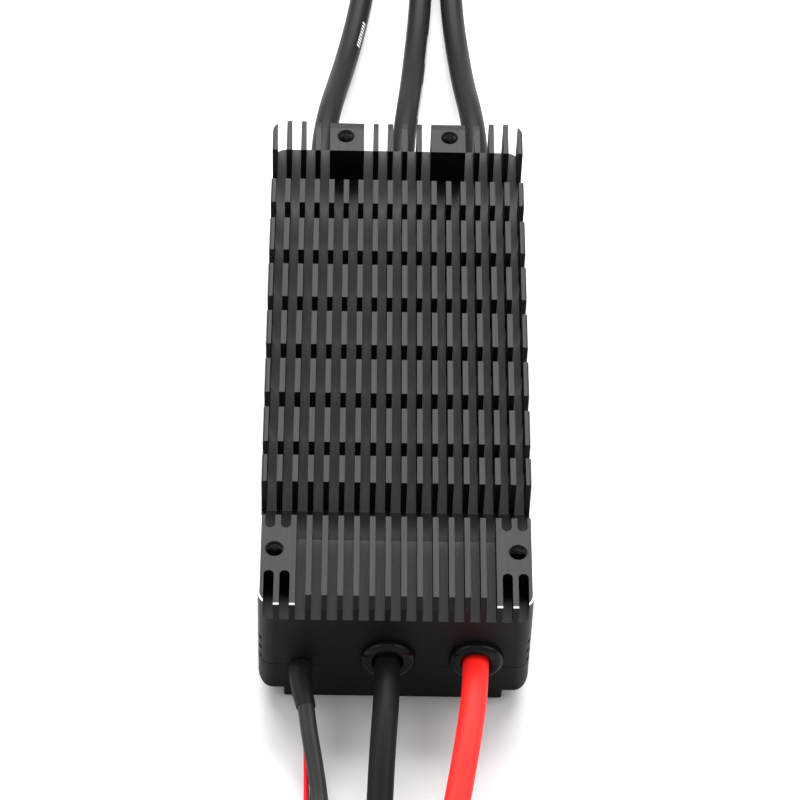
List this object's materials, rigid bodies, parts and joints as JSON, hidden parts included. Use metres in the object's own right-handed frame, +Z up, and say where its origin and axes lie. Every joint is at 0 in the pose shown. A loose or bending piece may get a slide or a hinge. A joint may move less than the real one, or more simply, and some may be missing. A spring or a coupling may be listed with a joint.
{
  "type": "electronic speed controller",
  "caption": "Finned black speed controller case with battery leads and a signal cable at one end and motor phase leads at the other.",
  "frame": {"origin": "middle of the base plate's underside, under the centre of the case", "axes": "+Z up out of the fins, -Y towards the battery and signal leads, +Y towards the motor phase leads, +X completes a right-handed frame"},
  "size_m": [0.0676, 0.5382, 0.0385],
  "materials": {
    "black_anodised": "black anodised over fine machining, bare metal on the bevelled edges",
    "seal_rubber": "matt moulded rubber",
    "black_steel": "black oxide",
    "circuit_board": "dark solder mask over glass laminate",
    "brass_fittings": "turned brass",
    "chip_plastic": "moulded epoxy with tinned pins",
    "thermal_silicone": "soft filled silicone",
    "copper": "tinned and bare copper",
    "capacitor_sleeve": "shrunk plastic sleeve over an aluminium can",
    "capacitor_rubber": "moulded rubber bung",
    "tinned_steel": "tinned wire",
    "ceramic": "fired ceramic with tinned ends",
    "insulating_film": "thin polyester film",
    "ferrite": "pressed ferrite",
    "header_plastic": "moulded nylon",
    "shunt_alloy": "bare resistance alloy",
    "grommet_rubber": "glossy moulded rubber",
    "pigtail_wire": "thin silicone wire",
    "black_heat_shrink": "shrunk polyolefin",
    "red_heat_shrink": "shrunk polyolefin",
    "black_silicone": "satin silicone insulation",
    "red_silicone": "satin silicone insulation",
    "cable_jacket": "matt cable jacket",
    "thin_red_wire": "silicone insulation",
    "thin_black_wire": "silicone insulation",
    "gold_plate": "gold-plated brass",
    "plug_plastic": "moulded nylon"
  },
  "bodies": {
    "root": {"aux_plug": "plug_plastic", "aux_wire_black": "thin_black_wire", "aux_wire_red": "thin_red_wire", "base_plate": "black_anodised", "base_plate_screws": "black_steel", "battery_negative_bullet": "gold_plate", "battery_negative_grommet": "grommet_rubber", "battery_negative_lead": "black_silicone", "battery_negative_lug": "copper", "battery_negative_shrink": "black_heat_shrink", "battery_positive_bullet": "gold_plate", "battery_positive_grommet": "grommet_rubber", "battery_positive_lead": "red_silicone", "battery_positive_lug": "copper", "battery_positive_shrink": "red_heat_shrink", "board_header": "header_plastic", "board_screws": "black_steel", "board_spacers": "brass_fittings", "capacitor_cans": "capacitor_sleeve", "capacitor_legs": "tinned_steel", "capacitor_seals": "capacitor_rubber", "case_screws": "black_steel", "case_seal": "seal_rubber", "ceramic_capacitors": "ceramic", "control_board": "circuit_board", "control_board_posts": "brass_fittings", "current_shunts": "shunt_alloy", "gate_drivers": "chip_plastic", "heatsink_housing": "black_anodised", "insulating_sheet": "insulating_film", "lower_case": "black_anodised", "microcontroller": "chip_plastic", "negative_bus_bar": "copper", "phase_a_bullet": "gold_plate", "phase_a_grommet": "grommet_rubber", "phase_a_lead": "black_silicone", "phase_a_lug": "copper", "phase_a_shrink": "black_heat_shrink", "phase_b_bullet": "gold_plate", "phase_b_grommet": "grommet_rubber", "phase_b_lead": "black_silicone", "phase_b_lug": "copper", "phase_b_shrink": "black_heat_shrink", "phase_c_bullet": "gold_plate", "phase_c_grommet": "grommet_rubber", "phase_c_lead": "black_silicone", "phase_c_lug": "copper", "phase_c_shrink": "black_heat_shrink", "positive_bus_bar": "copper", "power_board": "circuit_board", "power_transistors": "chip_plastic", "regulator_coil": "ferrite", "signal_cable": "cable_jacket", "signal_header": "header_plastic", "signal_pigtail": "pigtail_wire", "signal_plug": "plug_plastic", "signal_plug_contacts": "gold_plate", "signal_sleeve": "black_heat_shrink", "thermal_pad": "thermal_silicone"}
  },
  "joints": []
}
